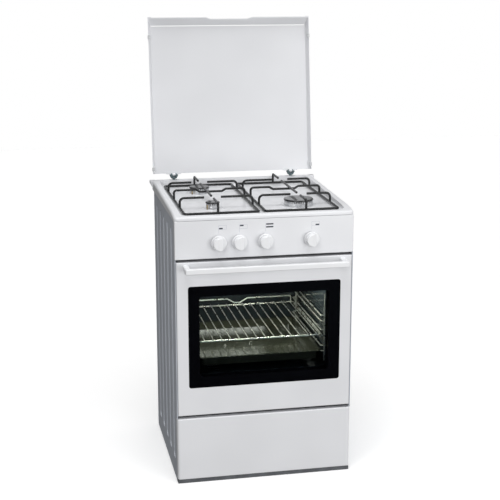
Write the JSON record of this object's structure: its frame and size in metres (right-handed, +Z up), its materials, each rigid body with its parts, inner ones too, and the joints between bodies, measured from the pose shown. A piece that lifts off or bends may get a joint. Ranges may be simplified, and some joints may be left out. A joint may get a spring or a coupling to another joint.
{
  "type": "freestanding gas range",
  "caption": "Freestanding white gas range with wire pan supports, folding lid, glazed drop-down oven door, turning knobs and a storage drawer.",
  "frame": {"origin": "on the floor under the middle of the whole range, with the lid open and leaning back", "axes": "+X to the right of someone facing the front, +Y from the front to the rear, +Z up"},
  "size_m": [0.5586, 0.6414, 1.3783],
  "materials": {
    "white_enamel": "gloss",
    "side_enamel": "satin",
    "dark_enamel": "gloss",
    "tray_enamel": "gloss",
    "black_frame": "satin",
    "black_wire": "satin",
    "black_cap": "satin",
    "plinth_dark": "matte",
    "galvanised": "satin",
    "bare_steel": "satin",
    "zinc_plate": "satin",
    "zinc_cast": "satin",
    "chromed_wire": "polished",
    "bright_screw": "polished",
    "copper_brass": "satin",
    "tap_alloy": "satin",
    "burner_alloy": "satin",
    "pipe_alloy": "satin",
    "door_glass": "gloss",
    "mineral_wool": "matte",
    "seal_cord": "matte",
    "buffer_rubber": "matte",
    "foot_moulding": "matte",
    "white_moulding": "gloss"
  },
  "bodies": {
    "cabinet": {"base_frame": "plinth_dark", "side_panel_left": "side_enamel", "side_panel_right": "side_enamel", "back_panel": "galvanised", "front_frame": "dark_enamel", "oven_liner": "dark_enamel", "oven_insulation": "mineral_wool", "oven_seal": "seal_cord", "oven_floor_plate": "dark_enamel", "oven_burner": "bare_steel", "grill_burner": "bare_steel", "side_rack_left": "chromed_wire", "side_rack_right": "chromed_wire", "thermostat_bulb": "copper_brass", "flue_duct": "galvanised", "control_panel": "white_enamel", "gas_rail": "bare_steel", "gas_inlet": "copper_brass", "gas_taps": "tap_alloy", "burner_cups": "burner_alloy", "burner_heads": "burner_alloy", "hob_top": "white_enamel", "burner_pipes": "pipe_alloy", "thermocouples": "copper_brass", "lid_hinge_cups": "zinc_cast", "lid_hinge_pins": "bare_steel", "door_hinge_brackets": "zinc_plate", "drawer_runners": "galvanised", "cabinet_screws": "bright_screw"},
    "lid": {"lid_panel": "white_enamel", "lid_hinge_brackets": "white_enamel", "lid_buffers": "buffer_rubber"},
    "oven_door": {"door_panel": "white_enamel", "door_outer_glass": "door_glass", "door_window_frame": "black_frame", "door_inner_glass": "door_glass", "door_inner_liner": "dark_enamel", "door_handle": "white_moulding", "door_hinge_pins": "bare_steel"},
    "drawer": {"drawer_front": "white_enamel", "drawer_box": "galvanised"},
    "spindle_front_left": {"tap_spindle_front_left": "tap_alloy"},
    "dial_front_left": {"knob_front_left": "white_moulding"},
    "spindle_rear_left": {"tap_spindle_rear_left": "tap_alloy"},
    "dial_rear_left": {"knob_rear_left": "white_moulding"},
    "spindle_oven": {"tap_spindle_oven": "tap_alloy"},
    "dial_oven": {"knob_oven": "white_moulding"},
    "spindle_front_right": {"tap_spindle_front_right": "tap_alloy"},
    "dial_front_right": {"knob_front_right": "white_moulding"},
    "grid_left": {"pan_support_left": "black_wire"},
    "grid_right": {"pan_support_right": "black_wire"},
    "cap_front_left": {"burner_cap_front_left": "black_cap"},
    "cap_rear_left": {"burner_cap_rear_left": "black_cap"},
    "cap_front_right": {"burner_cap_front_right": "black_cap"},
    "shelf": {"wire_shelf": "chromed_wire"},
    "tray": {"baking_tray": "tray_enamel"},
    "foot_front_left": {"levelling_foot_front_left": "foot_moulding"},
    "foot_front_right": {"levelling_foot_front_right": "foot_moulding"},
    "foot_rear_left": {"levelling_foot_rear_left": "foot_moulding"},
    "foot_rear_right": {"levelling_foot_rear_right": "foot_moulding"}
  },
  "joints": [
    {"name": "lid_hinge", "type": "hinge", "parent": "cabinet", "child": "lid", "pos_m": [0, 0.25123, 0.866], "axis": [-1, 0, 0], "range_deg": [-97.5, 0]},
    {"name": "door_hinge", "type": "hinge", "parent": "cabinet", "child": "oven_door", "pos_m": [0, -0.26077, 0.2285], "axis": [1, 0, 0], "range_deg": [0, 90], "stiffness_Nm_per_rad": 6, "springref_deg": -22.92},
    {"name": "drawer_slide", "type": "slide", "parent": "cabinet", "child": "drawer", "axis": [0, -1, 0], "range_m": [0, 0.3]},
    {"name": "push_front_left", "type": "slide", "parent": "cabinet", "child": "spindle_front_left", "axis": [0, 1, 0], "range_m": [0, 0.003], "stiffness_N_per_m": 800},
    {"name": "turn_front_left", "type": "hinge", "parent": "spindle_front_left", "child": "dial_front_left", "pos_m": [-0.14, -0.27427, 0.7506], "axis": [0, -1, 0], "range_deg": [0, 210]},
    {"name": "push_rear_left", "type": "slide", "parent": "cabinet", "child": "spindle_rear_left", "axis": [0, 1, 0], "range_m": [0, 0.003], "stiffness_N_per_m": 800},
    {"name": "turn_rear_left", "type": "hinge", "parent": "spindle_rear_left", "child": "dial_rear_left", "pos_m": [-0.078, -0.27427, 0.7506], "axis": [0, -1, 0], "range_deg": [0, 210]},
    {"name": "push_oven", "type": "slide", "parent": "cabinet", "child": "spindle_oven", "axis": [0, 1, 0], "range_m": [0, 0.003], "stiffness_N_per_m": 800},
    {"name": "turn_oven", "type": "hinge", "parent": "spindle_oven", "child": "dial_oven", "pos_m": [0, -0.27427, 0.7506], "axis": [0, -1, 0], "range_deg": [0, 270]},
    {"name": "push_front_right", "type": "slide", "parent": "cabinet", "child": "spindle_front_right", "axis": [0, 1, 0], "range_m": [0, 0.003], "stiffness_N_per_m": 800},
    {"name": "turn_front_right", "type": "hinge", "parent": "spindle_front_right", "child": "dial_front_right", "pos_m": [0.14, -0.27427, 0.7506], "axis": [0, -1, 0], "range_deg": [0, 210]},
    {"name": "lift_grid_left", "type": "slide", "parent": "cabinet", "child": "grid_left", "axis": [0, 0, 1], "range_m": [0, 0.06]},
    {"name": "lift_grid_right", "type": "slide", "parent": "cabinet", "child": "grid_right", "axis": [0, 0, 1], "range_m": [0, 0.06]},
    {"name": "lift_cap_front_left", "type": "slide", "parent": "cabinet", "child": "cap_front_left", "axis": [0, 0, 1], "range_m": [0, 0.008]},
    {"name": "lift_cap_rear_left", "type": "slide", "parent": "cabinet", "child": "cap_rear_left", "axis": [0, 0, 1], "range_m": [0, 0.008]},
    {"name": "lift_cap_front_right", "type": "slide", "parent": "cabinet", "child": "cap_front_right", "axis": [0, 0, 1], "range_m": [0, 0.008]},
    {"name": "shelf_slide", "type": "slide", "parent": "cabinet", "child": "shelf", "axis": [0, -1, 0], "range_m": [0, 0.014]},
    {"name": "tray_slide", "type": "slide", "parent": "cabinet", "child": "tray", "axis": [0, -1, 0], "range_m": [0, 0.014]},
    {"name": "adjust_foot_front_left", "type": "slide", "parent": "cabinet", "child": "foot_front_left", "axis": [0, 0, -1], "range_m": [0, 0.012]},
    {"name": "adjust_foot_front_right", "type": "slide", "parent": "cabinet", "child": "foot_front_right", "axis": [0, 0, -1], "range_m": [0, 0.012]},
    {"name": "adjust_foot_rear_left", "type": "slide", "parent": "cabinet", "child": "foot_rear_left", "axis": [0, 0, -1], "range_m": [0, 0.012]},
    {"name": "adjust_foot_rear_right", "type": "slide", "parent": "cabinet", "child": "foot_rear_right", "axis": [0, 0, -1], "range_m": [0, 0.012]}
  ]
}
